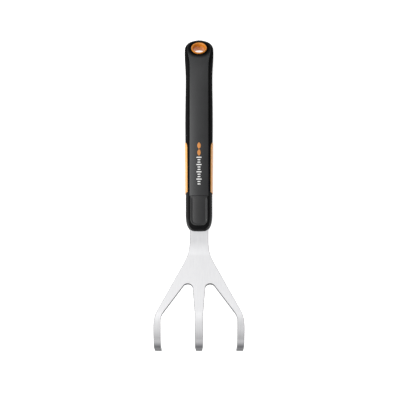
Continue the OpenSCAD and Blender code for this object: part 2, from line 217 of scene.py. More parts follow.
hole = next(m for m in frame["record"]["mounts"] if m["name"] == "hang_hole")
pitch = atan2(-hole["axis"][0], hole["axis"][2]) - radians(hole_tilt)
hole_top = float(raw_top(hole_x))
hole_depth = 5
hole_mid = (
    hole_x + hole_depth * sin(radians(hole_tilt)),
    hole_top - hole_depth * cos(radians(hole_tilt)),
)
row_x = hole["pos_m"][0] * 1000 - (hole_mid[0] * cos(pitch) - hole_mid[1] * sin(pitch))
row_z = hole["pos_m"][2] * 1000 - (hole_mid[0] * sin(pitch) + hole_mid[1] * cos(pitch))


def turn_to_row(v):
    x, y, z = v[:, 0], v[:, 1], v[:, 2]
    return np.stack([x * cos(pitch) - z * sin(pitch), y, x * sin(pitch) + z * cos(pitch)], 1)


def to_row(points):
    return (turn_to_row(np.asarray(points, float)) + (row_x, 0, row_z)) / 1000


# ---- Meshes ----

def new_object(name, mesh):
    obj = bpy.data.objects.new(name, mesh)
    bpy.context.scene.collection.objects.link(obj)
    return obj


def solid(name, loops_of_rings, caps=()):
    """One mesh from stacks of closed rings, each (rings, points, 3). caps says which ends are closed
    flat, as (first, last) for each stack."""
    bm = bmesh.new()
    for k, rings in enumerate(loops_of_rings):
        n = rings.shape[1]
        rows = [[bm.verts.new(p) for p in ring] for ring in rings]
        for a, b in zip(rows, rows[1:]):
            for j in range(n):
                bm.faces.new((a[j], a[(j + 1) % n], b[(j + 1) % n], b[j]))
        if k < len(caps) and caps[k][0]:
            bm.faces.new(rows[0])
        if k < len(caps) and caps[k][1]:
            bm.faces.new(rows[-1])
    bmesh.ops.remove_doubles(bm, verts=bm.verts, dist=1e-3)
    bmesh.ops.dissolve_degenerate(bm, edges=bm.edges, dist=1e-3)
    bmesh.ops.recalc_face_normals(bm, faces=bm.faces)
    mesh = bpy.data.meshes.new(name)
    bm.to_mesh(mesh)
    bm.free()
    return new_object(name, mesh)


def cut(obj, cutter):
    """Takes the cutter out of obj, in the tool frame."""
    step = obj.modifiers.new("cut", "BOOLEAN")
    step.operation, step.solver, step.object = "DIFFERENCE", "EXACT", cutter
    bpy.context.view_layer.update()
    done = bpy.data.meshes.new_from_object(obj.evaluated_get(bpy.context.evaluated_depsgraph_get()))
    obj.modifiers.clear()
    obj.data = done


def place(obj):
    """Moves the mesh from the tool frame to the row frame, inside the box of the CAD."""
    co = np.zeros(len(obj.data.vertices) * 3)
    obj.data.vertices.foreach_get("co", co)
    low, high = (np.array(corner) for corner in cad_bounds)
    obj.data.vertices.foreach_set("co", np.clip(to_row(co.reshape(-1, 3)), low, high).ravel())
    obj.data.update()
    obj.data.shade_smooth()
    obj.data.set_sharp_from_angle(angle=radians(38))
    return obj


def distance(points, path):
    """Shortest distance from each plane point to an open path."""
    a, step = path[:-1], np.diff(path, axis=0)
    out = np.empty(len(points))
    for i in range(0, len(points), 4000):
        ap = points[i : i + 4000, None, :] - a
        t = np.clip((ap * step).sum(-1) / (step**2).sum(-1), 0, 1)
        out[i : i + 4000] = np.sqrt(((ap - t[..., None] * step) ** 2).sum(-1)).min(1)
    return out


def lip(d, r=lip_r):
    """Depth of a rounded edge at distance d from the seam."""
    return r - np.sqrt(r**2 - (r - np.clip(d, 0, r)) ** 2)


def pad(outline, low, high, reach, front, back, rim=lip_r, inner=8):
    """Rings of a closed pad. outline is in plan, mirror-symmetric about its first axis; it shrinks onto
    the stretch low..high of that axis. reach is its half width, front and back give its two faces."""
    core = np.stack([np.clip(outline[:, 0], low, high), np.zeros(len(outline))], 1)
    turns = np.linspace(0, pi / 2, 6)
    edge = [(rim * (1 - cos(t)) / reach, rim * (1 - sin(t))) for t in turns]
    body = [(f, 0.0) for f in np.linspace(edge[-1][0], 1, inner)[1:]]
    rings = [back(outline + (core - outline) * f) for f in (1, 0.5, 0)]
    rings += [front(outline + (core - outline) * f, depth) for f, depth in edge + body]
    return np.array(rings)


def mirrored_outline(half):
    """Closes a half outline that starts and ends on the axis, or square to it."""
    first = 1 if abs(half[-1, 1]) < 1e-9 else 0
    last = -1 if abs(half[0, 1]) < 1e-9 else None
    return np.concatenate([half, (half * (1, -1))[::-1][first:last]])


def in_steps(start, stop, step):
    return np.linspace(start, stop, max(2, ceil((stop - start) / step) + 1))


def merge_stations(*parts):
    xs = np.sort(np.concatenate(parts))
    return xs[np.concatenate([[True], np.diff(xs) > 0.012])]


# Distances from a seam of the stations that draw its soft edge
near_seam = np.array([0, 0.03, 0.09, 0.18, 0.28, 0.4, 0.8])


# ---- Top spine ----

def spine_outline(gap):
    tip = spine_rim + gap
    xs = np.concatenate([
        tip + (hole_x - tip) * (1 - np.cos(np.linspace(0, pi / 2, 40))),
        in_steps(hole_x, seam_x - gap, 1.2)[1:],
    ])
    ys = np.maximum(crease(xs) - gap, 0)
    ys[0] = 0
    ys[1:] = np.maximum(ys[1:], 1e-3)
    end = [[xs[-1], y] for y in np.linspace(ys[-1], 0, 9)[1:]]
    return mirrored_outline(np.concatenate([np.stack([xs, ys], 1), end]))


def top_face(p, depth=0.0):
    return np.stack([p[:, 0], p[:, 1], panel_z(p[:, 0], p[:, 1]) - depth], 1)


def under_top(depth):
    return lambda p: np.stack([p[:, 0], p[:, 1], raw_top(p[:, 0]) - depth], 1)


# ---- Claw ----

def bends():
    """Middle line of the plate: (length, turn) of each stretch, from the rear of the tang."""
    arcs = [(throat_r, -neck_drop), (rise_r, neck_drop + fan_rise), (knee_r, -knee_turn)]
    straights = [tang_len, neck_len, fan_len, tip_len]
    out = []
    for i, length in enumerate(straights):
        out.append((length, 0))
        if i < len(arcs):
            out.append((arcs[i][0] * radians(abs(arcs[i][1])), arcs[i][1]))
    return out


stretches = bends()
lengths = [length for length, _ in stretches]
# Distances along the plate are measured from the start of the fan
plate_start = -sum(lengths[:4])
knee_s = fan_len
tip_s = knee_s + lengths[5]
end_s = tip_s + tip_len
# The plate steps out from the width of the tang to that of the neck here
neck_s = -sum(lengths[1:4]) - 17


def on_path(s):
    """Place (x, z) and heading of the middle line at distance s."""
    x = np.zeros_like(s)
    z = np.zeros_like(s)
    h = np.zeros_like(s)
    at, px, pz, ph = plate_start, throat_x - tang_len, 0.0, 0.0
    s = np.maximum(s, plate_start)
    for length, turn in stretches:
        here = s >= at
        d = s[here] - at
        if turn:
            r = length / radians(abs(turn))
            side = 1 if turn > 0 else -1
            cx, cz = px - side * r * sin(ph), pz + side * r * cos(ph)
            angle = ph + side * d / r
            x[here], z[here], h[here] = cx + side * r * np.sin(angle), cz - side * r * np.cos(angle), angle
            ph_next = ph + radians(turn)
            px, pz = cx + side * r * sin(ph_next), cz - side * r * cos(ph_next)
            ph = ph_next
        else:
            x[here], z[here], h[here] = px + d * cos(ph), pz + d * sin(ph), ph
            px, pz = px + length * cos(ph), pz + length * sin(ph)
        at += length
    return x, z, h


def along_plate(u):
    """Distance along the plate of a place u on the plane of the fan."""
    if u < 0:
        return -rise_r * asin(min(-u / rise_r, 1))
    return u if u < fan_len else fan_len + knee_r * asin(min((u - fan_len) / knee_r, 1))


def arc(cx, cy, r, a0, a1, step):
    turns = np.radians(np.linspace(a0, a1, ceil(abs(a1 - a0) / step) + 1))
    return [(cx + r * cos(t), cy + r * sin(t)) for t in turns]


def claw_outline():
    claw_half = claw_w / 2
    inside = claw_half - tine_w
    root = mid_half + root_flare
    splay = radians(outer_splay)
    flare_end = (flare_x + flare_r * sin(splay), neck_half + flare_r * (1 - cos(splay)))
    shoulder_y = claw_half - shoulder_r * (1 - cos(splay))
    shoulder_cx = flare_end[0] + (shoulder_y - flare_end[1]) / tan(splay) + shoulder_r * sin(splay)
    crotch = (crotch_at + crotch_r, root + crotch_r)
    corner_y = inside - inner_corner_r
    splay = radians(inner_splay)
    wider = inner_corner_r - crotch_r
    corner_x = crotch[0] + (corner_y - crotch[1] + wider * cos(splay)) / tan(splay) + wider * sin(splay)
    on_fan = arc(flare_x, neck_half + flare_r, flare_r, -90, -90 + outer_splay, 1.5)
    on_fan += arc(shoulder_cx, claw_half - shoulder_r, shoulder_r, 90 + outer_splay, 90, 1.5)
    gap = arc(corner_x, corner_y, inner_corner_r, 90, 90 + inner_splay, 3)
    gap += arc(*crotch, crotch_r, 90 + inner_splay, 270, 4)
    outer_tip = [(end_s - tip_corner, claw_half), (end_s, claw_half - tip_corner),
                 (end_s, inside + tip_corner), (end_s - tip_corner, inside)]
    middle_tine = [(along_plate(fan_len + 4), mid_half), (tip_s, mid_half),
                   (end_s - tip_corner, mid_tip_half), (end_s, mid_tip_half - tip_corner)]
    half = [(plate_start, tang_half), (neck_s, tang_half), (neck_s, neck_half)]
    half += [(along_plate(u), y) for u, y in on_fan] + outer_tip
    half += [(along_plate(u), y) for u, y in gap] + middle_tine
    return np.array(half + [(s, -y) for s, y in reversed(half)])


def inward(outline):
    """Inward mitre vector and outward normal at each corner of a closed outline."""
    step = np.roll(outline, -1, 0) - outline
    normal = np.stack([step[:, 1], -step[:, 0]], 1) / np.linalg.norm(step, axis=1)[:, None]
    area = (outline[:, 0] * np.roll(outline[:, 1], -1) - np.roll(outline[:, 0], -1) * outline[:, 1]).sum()
    normal *= np.sign(area)
    both = normal + np.roll(normal, 1, 0)
    unit = both / np.linalg.norm(both, axis=1)[:, None]
    return -unit / (unit * normal).sum(1)[:, None], unit


def bent_plate(name, outline, thick, round_r, bend_step=1.5, ground=False):
    """Plate cut to outline in (s, y), with rounded edges, bent along the middle line. ground cuts the
    bevel at the tips. Its broad faces have material 0 and its cut edges 1. Also gives its normals."""
    mitre, normal = inward(outline)
    quarter = np.linspace(0, pi / 2, 4) if round_r else np.array([pi / 2])
    # Each ring: distance in from the outline, height, and the normal's parts up and outwards
    profile = [(round_r * (1 - sin(t)), thick / 2 - round_r * (1 - cos(t)), cos(t), sin(t)) for t in quarter]
    profile += [(d, -n, -up, out) for d, n, up, out in reversed(profile)]
    bm = bmesh.new()
    flat = bm.verts.layers.float_vector.new("face_normal")
    rows = []
    for d, n, up, out in profile:
        row = []
        for p, m, k in zip(outline, mitre, normal):
            v = bm.verts.new((p[0] + m[0] * d, p[1] + m[1] * d, n))
            v[flat] = Vector((k[0] * out, k[1] * out, up))
            row.append(v)
        rows.append(row)
    count = len(outline)
    for a, b in zip(rows, rows[1:]):
        for j in range(count):
            bm.faces.new((a[j], a[(j + 1) % count], b[(j + 1) % count], b[j]))
    bm.faces.new(rows[0])
    bm.faces.new(rows[-1])
    at = plate_start
    for length, turn in stretches:
        if turn:
            steps = ceil(abs(turn) / bend_step)
            for i in range(steps + 1):
                bmesh.ops.bisect_plane(bm, geom=bm.verts[:] + bm.edges[:] + bm.faces[:], dist=1e-5,
                                       plane_co=(at + length * i / steps, 0, 0), plane_no=(1, 0, 0))
        at += length
    bevel_no = Vector((thick - tip_land, 0, tip_bevel)).normalized()
    if ground:
        bmesh.ops.bisect_plane(bm, geom=bm.verts[:] + bm.edges[:] + bm.faces[:], dist=1e-5, clear_outer=True,
                               plane_co=(end_s - tip_bevel, 0, thick / 2), plane_no=bevel_no)
        bmesh.ops.holes_fill(bm, edges=[e for e in bm.edges if e.is_boundary], sides=0)
    bmesh.ops.recalc_face_normals(bm, faces=bm.faces)
    mesh = bpy.data.meshes.new(name)
    bm.to_mesh(mesh)
    bm.free()
    co = np.array([v.co for v in mesh.vertices])
    kept = np.zeros(len(co) * 3)
    mesh.attributes["face_normal"].data.foreach_get("vector", kept)
    kept = kept.reshape(-1, 3)
    x, z, h = on_path(co[:, 0])
    bent = np.stack([x - co[:, 2] * np.sin(h), co[:, 1], z + co[:, 2] * np.cos(h)], 1)

    def turned(v, heading):
        return np.stack([v[:, 0] * np.cos(heading) - v[:, 2] * np.sin(heading), v[:, 1],
                         v[:, 0] * np.sin(heading) + v[:, 2] * np.cos(heading)], 1)

    grain = mesh.attributes.new("plate_grain", "FLOAT_VECTOR", "POINT")
    grain.data.foreach_set("vector", (co / 1000).astype(np.float32).ravel())
    mesh.attributes.remove(mesh.attributes["face_normal"])
    mesh.vertices.foreach_set("co", bent.ravel())
    mesh.update()
    on_face = np.abs(np.abs(co[:, 2]) - thick / 2) < 1e-3
    for face in mesh.polygons:
        corners = list(face.vertices)
        face.material_index = 0 if on_face[corners].all() and np.ptp(co[corners, 2]) < 0.1 else 1
    corner_vert = np.zeros(len(mesh.loops), int)
    mesh.loops.foreach_get("vertex_index", corner_vert)
    normals = turn_to_row(turned(kept, h))[corner_vert]
    if ground:
        bevel = np.array([bevel_no])
        on_bevel = np.abs((co - (end_s - tip_bevel, 0, thick / 2)) @ bevel[0]) < 2e-3
        bevel_row = turn_to_row(turned(bevel, on_path(np.array([end_s]))[2]))[0]
        for face in mesh.polygons:
            if on_bevel[list(face.vertices)].all():
                face.material_index = 0
                normals[face.loop_start : face.loop_start + face.loop_total] = bevel_row
    return new_object(name, mesh), normals


# ---- Hanging hole ----

def revolved(profile, count=96):
    """Rings of (r, height) turned about the axis of the hanging hole."""
    turns = np.linspace(0, 2 * pi, count, endpoint=False)
    along = np.array([cos(radians(hole_tilt)), 0, sin(radians(hole_tilt))])
    axis = np.array([-sin(radians(hole_tilt)), 0, cos(radians(hole_tilt))])
    ray = np.cos(turns)[:, None] * along + np.sin(turns)[:, None] * (0, 1, 0)
    return np.array([(hole_x, 0, hole_top) + ray * r + axis * h for r, h in profile])


def eyelet_profile():
    """Barrel with a rounded flange at both ends, as a closed loop of (r, height)."""
    bore, barrel, rim = hole_d / 2, hole_d / 2 + eyelet_wall, flange_d / 2
    top, seat, soft, mouth, lead = flange_proud, flange_t, 0.45, 0.8, 2
    cone = [(bore + mouth * t, top - lead * (1 - t)) for t in (0, 0.25, 0.5, 0.72)]
    upper = cone + [(bore + mouth, top - 0.2), (bore + mouth + 0.14, top - 0.05), (bore + mouth + 0.35, top)]
    upper += [(rim - soft + soft * sin(t), top - soft + soft * cos(t)) for t in np.linspace(0, pi / 2, 6)]
    upper += [(rim, -seat), (barrel, -seat)]
    lower = [(r, -butt_t - h) for r, h in reversed(upper)]
    return upper + lower + [upper[0]]


def hole_cutter():
    """What the eyelet, its seats and the moat round each flange take out of the handle."""
    barrel, seat, moat, moat_deep, clear = hole_d / 2 + eyelet_wall + fit, flange_d / 2 + fit, 1.0, 2.2, 20
    outer = flange_d / 2 + moat
    upper = [(0, clear), (outer + 0.5, clear), (outer + 0.5, 0.2), (outer + 0.15, -0.1), (outer, -0.45),
             (outer, -moat_deep), (seat, -moat_deep), (seat, -flange_t - fit), (barrel, -flange_t - fit)]
    lower = [(r, -butt_t - h) for r, h in reversed(upper)]
    return revolved(upper + lower)


# ---- Soft grip, collar and cap ----

def inlay_height(x, gap):
    """Half height of an inlay's side outline at x, zero behind its round end."""
    r = inlay_half + gap
    d = np.clip(x - (inlay_x0 - gap), 0, r)
    return np.sqrt(np.maximum(r**2 - (r - d) ** 2, 0))


def grip_solid():
    """Soft grip behind the collar, with recesses for the inlays and the spine and a channel for the core."""
    gap = fit / 2
    r = inlay_half + gap
    tip = inlay_x0 - gap
    turns = np.linspace(0, pi / 2, 26)
    xs = merge_stations(
        butt_r * (1 - np.cos(turns)), dome_steps,
        spine_rim + (hole_x - spine_rim) * (1 - np.cos(turns)), hole_x - core_half - fit + near_seam,
        in_steps(hole_x, tip - 0.8, 1.5), tip - near_seam, tip + r * (1 - np.cos(turns)),
        in_steps(tip + r, inlay_x1 - 0.8, 1.5), inlay_x1 - near_seam)
    x = xs[:, None]
    centre = middle(xs) + (inlay_z - middle(xs)) * smooth((xs - 90) / 18)
    high = inlay_height(xs, gap)
    w_top, w_low = side_place(xs, centre + high)[:, None], side_place(xs, centre - high)[:, None]
    count = 27
    upper = w_top * (1 - np.cos(np.linspace(0, pi, count))) / 2
    lower = w_low + (2 - w_low) * np.linspace(0, 1, count) ** 1.7
    spine_path = np.stack([xs, crease(xs)], 1)[xs >= spine_rim]
    end_turns = np.linspace(0, pi / 2, 30)
    inlay_path = np.concatenate([
        [(inlay_x1, inlay_z + r)],
        [(tip + r - r * sin(t), inlay_z + r * cos(t)) for t in end_turns],
        [(tip + r - r * cos(t), inlay_z - r * sin(t)) for t in end_turns],
        [(inlay_x1, inlay_z - r)]])

    def softened(w):
        y, z = side_point(x, w)
        plan = np.stack(np.broadcast_arrays(x, y), -1).reshape(-1, 2)
        z = z - np.where(w < 0.6, lip(distance(plan, spine_path)).reshape(w.shape), 0)
        side = np.stack(np.broadcast_arrays(x, z), -1).reshape(-1, 2)
        y = y - np.where(x > tip - 1, lip(distance(side, inlay_path)).reshape(w.shape), 0)
        return y, z

    (uy, uz), (ly, lz) = softened(upper), softened(lower)
    deep = xs > tip + 1e-6
    recess_y = np.where(deep, inlay_back - fit, uy[:, -1])
    recess = [(recess_y, np.where(deep, centre + high, uz[:, -1])),
              (recess_y, np.where(deep, centre - high, lz[:, 0]))]
    right = [(uy[:, j], uz[:, j]) for j in range(count)] + recess
    right += [(ly[:, j], lz[:, j]) for j in range(count)]
    left = [(-y, z) for y, z in reversed(right)]
    # Recess for the spine, and below it the channel of the core
    half = np.where(xs > spine_rim, crease(xs), 0)
    ledge = np.where(xs > spine_rim, raw_top(xs) - spine_t - fit, uz[:, 0])
    round_end = np.sqrt(np.maximum((core_half + fit) ** 2 - np.minimum(xs - hole_x, 0) ** 2, 0))
    in_core = xs > hole_x - core_half - fit
    channel = np.where(in_core, np.minimum(round_end, half), 0)
    floor = np.where(in_core, raw_under(xs) + under_t - fit, ledge)
    inside = [(-half, ledge), (-channel, ledge), (-channel, floor), (0 * xs, floor),
              (channel, floor), (channel, ledge), (half, ledge)]
    rings = np.array([np.stack([xs, y, z], 1) for y, z in right + left[1:] + inside]).transpose(1, 0, 2)
    squeeze = (1 - lip(inlay_x1 - xs) / section_half)[:, None]
    rings[:, :, 1] *= squeeze
    rings[:, :, 2] = middle(xs)[:, None] + (rings[:, :, 2] - middle(xs)[:, None]) * squeeze
    return solid("soft_grip_skin", [rings], [(False, True)])


def cap_half_at(x, gap):
    """Half width of the cap's plan at x."""
    d = np.clip(x - (cap_x1 - cap_r), 0, cap_r + gap)
    return cap_half - cap_r + np.sqrt(np.maximum((cap_r + gap) ** 2 - d**2, 0))


def collar_solid():
    """Collar round the neck of the claw, with recesses for the cap, the end of the spine and the core."""
    gap = fit / 2
    front = cap_x1 + gap
    turns = np.linspace(0, pi / 2, 22)
    core_end = core_x1 + fit
    round_x = front - cap_r - gap
    xs = merge_stations(
        collar_x + near_seam, in_steps(collar_x + 1, seam_x - 0.5, 1), [seam_x], seam_x + near_seam[1:],
        in_steps(seam_x + 1.4, round_x - 0.4, 1.2), [core_end], round_x + (cap_r + gap) * np.sin(turns),
        front + near_seam, handle_l - nose_r * (1 - np.cos(np.linspace(0, 0.62, 16))), handle_l - dome_steps)
    # Two rings share each station where the section steps. probe says on which side of it each one is
    stations = []
    for x in xs:
        on_step = min(abs(x - stop) for stop in (seam_x, core_end, front)) < 1e-3
        stations += [(x, x - 1e-6), (x, x + 1e-6)] if on_step else [(x, x)]
    at, probe = np.array(stations).T
    c = crease(at)
    w = (2 * np.linspace(0, 1, 46) ** 1.35)[None, :]
    x = at[:, None]
    sy, sz = side_point(x, w)
    opening = np.where(probe < seam_x, c, np.where(probe < front, np.minimum(cap_half_at(at, gap), c),
                                                   (cap_half - cap_r) * c / crease(np.array([front]))))
    share = np.array([0.25, 0.5, 0.72, 0.86, 0.94, 0.98, 1])
    strip_y = c[:, None] + (opening - c)[:, None] * share
    strip_z = panel_z(x, strip_y)
    plan_xs = np.concatenate([in_steps(seam_x, round_x, 1), round_x + (cap_r + gap) * np.sin(turns[1:])])
    cap_path = np.concatenate([np.stack([plan_xs, cap_half_at(plan_xs, gap)], 1), [(front, 0)]])
    spine_path = np.array([[collar_x, spine_w / 2], [seam_x, spine_w / 2], [seam_x, cap_half + gap]])

    def dip(y, z, near_top):
        plan = np.stack(np.broadcast_arrays(x, y), -1).reshape(-1, 2)
        d = np.minimum(distance(plan, cap_path), distance(plan, spine_path)).reshape(y.shape)
        return z - np.where(near_top, lip(d), 0)

    sz = dip(sy, sz, (w < 0.7) & (x < handle_l))
    strip_z = dip(strip_y, strip_z, np.ones_like(strip_y, bool))
    solid_top = probe > front
    centre_z = top_line(at) - lip(np.abs(at - front)) * solid_top
    ledge = np.where(probe < seam_x, raw_top(at) - spine_t - fit, raw_top(at) - cap_t - fit)
    ledge = np.where(solid_top, strip_z[:, -1], ledge)
    in_core = probe < core_end
    channel = np.where(in_core, core_half + fit, opening / 2)
    closed_top = np.where(solid_top, (ledge + centre_z) / 2, ledge)
    channel_top = np.where(in_core, raw_top(at) - spine_t - fit, closed_top)
    floor = np.where(in_core, raw_under(at) + under_t - fit, channel_top)
    bottom = np.where(in_core, floor, np.where(solid_top, centre_z, ledge))
    right = [(sy[:, j], sz[:, j]) for j in range(w.shape[1])]
    left = [(-y, z) for y, z in reversed(right)]
    strip = [(strip_y[:, j], strip_z[:, j]) for j in range(len(share))]
    inside = [(-opening, ledge), (-channel, channel_top), (-channel, floor), (0 * at, bottom),
              (channel, floor), (channel, channel_top), (opening, ledge)]
    ring = right + left[1:] + [(-y, z) for y, z in strip] + inside + strip[::-1]
    rings = np.array([np.stack([at, y, z], 1) for y, z in ring]).transpose(1, 0, 2)
    squeeze = (1 - lip(at - collar_x) / section_half)[:, None]
    rings[:, :, 1] *= squeeze
    rings[:, :, 2] = middle(at)[:, None] + (rings[:, :, 2] - middle(at)[:, None]) * squeeze
    return solid("front_collar_shell", [rings], [(True, False)])


def cap_rings():
    """Cap with a round front end and a raised bead along its edge."""
    turns = np.linspace(0, pi / 2, 14)
    back_x = seam_x + fit / 2
    xs = in_steps(back_x, cap_x1 - cap_r, 1.1)
    half = [(back_x, y) for y in np.linspace(0, cap_half, 9)[:-1]]
    half += [(x, cap_half) for x in xs[:-1]]
    half += [(cap_x1 - cap_r + cap_r * sin(t), cap_half - cap_r + cap_r * cos(t)) for t in turns]
    half += [(cap_x1, y) for y in np.linspace(cap_half - cap_r, 0, 5)[1:]]
    outline = mirrored_outline(np.array(half))
    bead_path = np.array([p for p in half if p[0] > back_x])

    def front(p, depth):
        d = distance(np.abs(p), bead_path)
        fade = smooth((p[:, 0] - back_x - 1) / 3)
        return top_face(p, depth - bead_h * bell(d, bead_at, bead_half) * fade)

    return pad(outline, back_x + cap_half, cap_x1 - cap_half, cap_half, front, under_top(cap_t), inner=22)


def inlay_rings(side):
    """Inlay with a round rear end. side is 1 on the left and -1 on the right."""
    turns = np.linspace(0, pi / 2, 22)
    half = [(inlay_x0 + inlay_half * (1 - cos(t)), inlay_half * sin(t)) for t in turns]
    half += [(x, inlay_half) for x in in_steps(inlay_x0 + inlay_half, inlay_x1, 1.2)[1:]]
    half += [(inlay_x1, y) for y in np.linspace(inlay_half, 0, 9)[1:]]

    def front(p, depth):
        x, z = p[:, 0], inlay_z + p[:, 1]
        y, _ = side_point(x, side_place(x, z), inlay_proud)
        return np.stack([x, side * (y - depth), z], 1)

    def back(p):
        return np.stack([p[:, 0], np.full(len(p), side * inlay_back), inlay_z + p[:, 1]], 1)

    outline = mirrored_outline(np.array(half))
    low, high = inlay_x0 + inlay_half, inlay_x1 - inlay_half
    return pad(outline, low, high, inlay_half, front, back, rim=0.5, inner=12)


# ---- Printed marks ----

def mark(x0, x1, half_y, leaf=False):
    """A thin inked shape on the spine: a round-ended bar, or a leaf, between two stations."""
    ink, soak = 0.08, 0.2
    mid, reach = (x0 + x1) / 2, (x1 - x0) / 2
    if leaf:
        half = [(mid - reach * cos(t), half_y * sin(t) ** 1.4) for t in np.linspace(0, pi, 25)]
        low, high, size = mid - reach / 2, mid + reach / 2, half_y
    else:
        half = [(-half_y + reach * (1 - cos(t)), reach * sin(t)) for t in np.linspace(0, pi / 2, 6)]
        half += [(y, reach) for y in np.linspace(reach - half_y, half_y - reach, 12)[1:-1]]
        half += [(half_y - reach * (1 - cos(t)), reach * sin(t)) for t in np.linspace(pi / 2, 0, 6)]
        low, high, size = -half_y + reach, half_y - reach, reach

    def plan(p):
        return p if leaf else np.stack([mid + p[:, 1], p[:, 0]], 1)

    def front(p, depth):
        return top_face(plan(p), depth - ink)

    def back(p):
        return top_face(plan(p), soak)

    return pad(mirrored_outline(np.array(half)), low, high, size, front, back, rim=0.04, inner=3)


# ---- Materials ----

def material(name, dark, light, rough, blotch=45, fine=1800, bump=0.15, bump_mm=0.05, metallic=0.0,
             specular=0.5, grain=None, coat=0.0, painted_tip_shade=None, hush=None):
    """Procedural finish: colour and roughness vary with a broad and a fine noise, the fine one also lifts
    the surface. grain stretches the fine noise along the plate. rough is (low, high). painted_tip_shade
    paints shade on the plate, darker from one distance along it to another; hush dulls the surface round a
    point, out to a distance."""
    mat = bpy.data.materials.new(name)
    mat.use_nodes = True
    tree = mat.node_tree
    shader = next(n for n in tree.nodes if n.type == "BSDF_PRINCIPLED")

    def node(kind, **values):
        n = tree.nodes.new(kind)
        for key, value in values.items():
            if key in n.inputs:
                n.inputs[key].default_value = value
            else:
                setattr(n, key, value)
        return n

    def link(a, b):
        tree.links.new(a, b)

    if grain:
        where = node("ShaderNodeAttribute", attribute_name="plate_grain").outputs["Vector"]
    else:
        where = node("ShaderNodeTexCoord").outputs["Object"]
    broad = node("ShaderNodeTexNoise", Scale=blotch, Detail=4.0, Roughness=0.6)
    link(where, broad.inputs["Vector"])
    stretched = node("ShaderNodeMapping")
    stretched.inputs["Scale"].default_value = grain or (1, 1, 1)
    link(where, stretched.inputs["Vector"])
    small = node("ShaderNodeTexNoise", Scale=fine, Detail=3.0, Roughness=0.55)
    link(stretched.outputs["Vector"], small.inputs["Vector"])
    both = node("ShaderNodeMath", operation="MULTIPLY_ADD")
    link(small.outputs["Fac"], both.inputs[0])
    both.inputs[1].default_value = 0.5
    halved = node("ShaderNodeMath", operation="MULTIPLY")
    link(broad.outputs["Fac"], halved.inputs[0])
    halved.inputs[1].default_value = 0.5
    link(halved.outputs[0], both.inputs[2])
    ramp = node("ShaderNodeValToRGB")
    ramp.color_ramp.elements[0].position, ramp.color_ramp.elements[1].position = 0.36, 0.64
    ramp.color_ramp.elements[0].color = (*dark, 1)
    ramp.color_ramp.elements[1].color = (*light, 1)
    link(both.outputs[0], ramp.inputs["Fac"])
    colour = ramp.outputs["Color"]

    def share(value, start, stop, low, high):
        """low to high as value, in metres, runs from start to stop, in millimetres."""
        span = node("ShaderNodeMapRange", interpolation_type="SMOOTHSTEP")
        for key, number in (("From Min", start / 1000), ("From Max", stop / 1000),
                            ("To Min", low), ("To Max", high)):
            span.inputs[key].default_value = number
        link(value, span.inputs["Value"])
        return span.outputs["Result"]

    def darkened(base, amount, tint):
        """Sockets 6 and 7 are the Mix node's two colours, and 2 is its result."""
        darken = node("ShaderNodeMix", data_type="RGBA", blend_type="MULTIPLY")
        link(amount, darken.inputs["Factor"])
        link(base, darken.inputs[6])
        darken.inputs[7].default_value = (*tint, 1)
        return darken.outputs[2]

    shader.inputs["Specular IOR Level"].default_value = specular
    # Painted shade: the plate darkens towards the tips of the tines, and the specular tint set with it dims
    # the plate's grazing reflections.
    if painted_tip_shade:
        start, stop, tint = painted_tip_shade
        split = node("ShaderNodeSeparateXYZ")
        link(where, split.inputs[0])
        colour = darkened(colour, share(split.outputs["X"], start, stop, 0, 1), tint)
        shader.inputs["Specular Tint"].default_value = (0.45, 0.45, 0.455, 1)
    if hush:
        centre, near, far = hush
        away = node("ShaderNodeVectorMath", operation="DISTANCE")
        link(where, away.inputs[0])
        away.inputs[1].default_value = centre
        colour = darkened(colour, share(away.outputs["Value"], near, far, 1, 0), (0.12, 0.12, 0.12))
        link(share(away.outputs["Value"], near, far, 0.03, specular), shader.inputs["Specular IOR Level"])
    link(colour, shader.inputs["Base Color"])
    spread = node("ShaderNodeMapRange")
    for key, value in (("From Min", 0.3), ("From Max", 0.7), ("To Min", rough[0]), ("To Max", rough[1])):
        spread.inputs[key].default_value = value
    link(both.outputs[0], spread.inputs["Value"])
    link(spread.outputs["Result"], shader.inputs["Roughness"])
    lifted = node("ShaderNodeBump", Strength=bump, Distance=bump_mm / 1000)
    link(small.outputs["Fac"], lifted.inputs["Height"])
    link(lifted.outputs["Normal"], shader.inputs["Normal"])
    shader.inputs["Metallic"].default_value = metallic
    shader.inputs["Coat Weight"].default_value = coat
    shader.inputs["Coat Roughness"].default_value = 0.35
    return mat


# The stainless steel carries painted shade that darkens the tines from 77 to 102 mm along the plate.
steel = material("satin_stainless", (0.80, 0.80, 0.815), (0.90, 0.90, 0.91), (0.26, 0.38), blotch=22,
                 fine=2600, bump=0.12, bump_mm=0.012, metallic=1.0, grain=(0.03, 1, 1),
                 painted_tip_shade=(77, 102, (0.18, 0.18, 0.185)))
# The cut edges of the plate: their rough, cross-grained finish is their own, and their dark colour is
# painted shade.
cut_steel_painted_shade = material("sheared_edge_painted_shade", (0.10, 0.10, 0.105), (0.20, 0.20, 0.205), (0.38, 0.55), blotch=60,
                     fine=1800, bump=0.3, bump_mm=0.03, metallic=1.0, grain=(1, 1, 0.1))
rubber = material("matt_black_rubber", (0.003, 0.003, 0.0033), (0.007, 0.007, 0.0073), (0.55, 0.72),
                  fine=2400, bump=0.35, bump_mm=0.05, specular=0.01)
charcoal = material("satin_charcoal", (0.014, 0.0145, 0.0155), (0.024, 0.0245, 0.026), (0.34, 0.46),
                    fine=3000, bump=0.12, bump_mm=0.02, specular=0.5,
                    hush=(to_row([(hole_x, 0, hole_top)])[0], 10, 15.5))
orange = material("orange_rubber", (0.70, 0.27, 0.02), (0.80, 0.35, 0.035), (0.40, 0.55), fine=2400,
                  bump=0.3, bump_mm=0.05, specular=0.55, coat=0.3)
